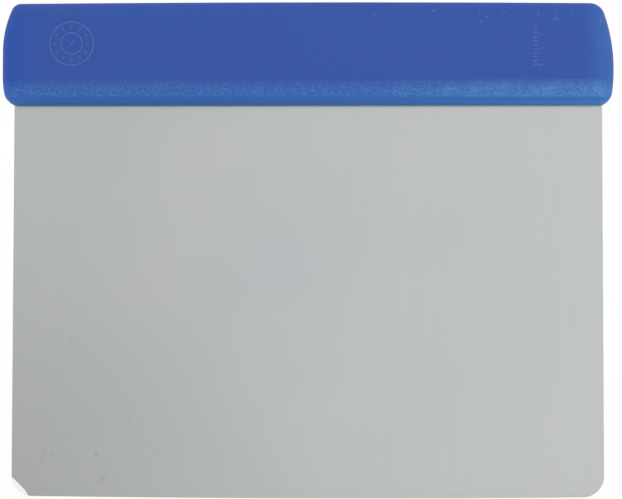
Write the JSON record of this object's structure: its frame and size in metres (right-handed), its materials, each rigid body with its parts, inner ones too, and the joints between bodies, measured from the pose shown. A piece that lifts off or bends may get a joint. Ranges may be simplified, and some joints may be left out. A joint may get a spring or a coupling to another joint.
{
  "type": "bench scraper",
  "caption": "Flat rectangular steel blade with rounded lower corners, set in a straight rounded plastic handle along its upper edge; cuts and lifts dough and scrapes worktops.",
  "frame": {"origin": "middle of the blade's working edge, at its lowest point", "axes": "+X along the working edge and the handle, +Y out of the back face, +Z from the working edge up to the handle; the front face looks towards -Y"},
  "size_m": [0.15, 0.018, 0.1215],
  "materials": {
    "blade": "fine upright brushed grain, satin, with a ground bevel along the working edge",
    "handle": "blue polypropylene with a fine spark-eroded mould texture"
  },
  "bodies": {
    "root": {"blade": "blade", "handle": "handle"}
  },
  "joints": []
}
